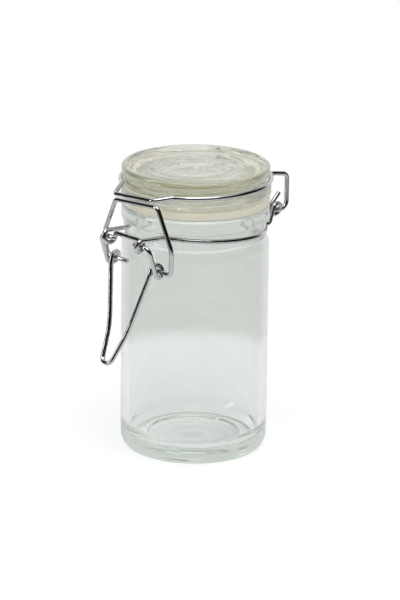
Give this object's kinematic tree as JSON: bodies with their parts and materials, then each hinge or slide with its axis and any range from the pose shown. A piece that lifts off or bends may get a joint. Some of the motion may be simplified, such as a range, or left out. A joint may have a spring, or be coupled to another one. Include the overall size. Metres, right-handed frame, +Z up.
{
  "type": "swing-closure glass canister",
  "caption": "Small cylindrical glass canister with a hinged glass lid, a flat sealing ring and a bent-wire lever closure that pulls the lid down.",
  "frame": {"origin": "on the jar's axis at the level it stands on", "axes": "+Z up along the jar's axis, -Y towards the lever closure, +Y towards the hinge, X along the hinge axis"},
  "size_m": [0.052, 0.0712, 0.099],
  "materials": {
    "jar_glass": "clear pressed glass with a faint cool green tint",
    "lid_glass": "thick pressed glass with a warm grey tint",
    "seal": "matt cream rubber",
    "neck_wire_steel": "bright plated wire",
    "lid_wire_steel": "bright plated wire",
    "lever_steel": "bright plated wire",
    "bail_steel": "bright plated wire"
  },
  "bodies": {
    "jar": {"jar": "jar_glass", "neck_wire": "neck_wire_steel"},
    "lid": {"lid": "lid_glass", "gasket": "seal", "lid_wire": "lid_wire_steel"},
    "lever": {"lever": "lever_steel"},
    "bail": {"bail": "bail_steel"}
  },
  "joints": [
    {"name": "lid_hinge", "type": "hinge", "parent": "jar", "child": "lid", "pos_m": [0, 0.02692, 0.0804], "axis": [-1, 0, 0], "range_deg": [0, 185]},
    {"name": "lever_swing", "type": "hinge", "parent": "jar", "child": "lever", "pos_m": [0, -0.032, 0.078], "axis": [-1, 0, 0], "range_deg": [0, 115]},
    {"name": "bail_swing", "type": "hinge", "parent": "lever", "child": "bail", "pos_m": [0, -0.027, 0.0691], "axis": [-1, 0, 0], "range_deg": [-133, 0]}
  ],
  "couplings": [
    {"joint": "bail_swing", "follows": "lever_swing", "ratio": -1.15}
  ]
}
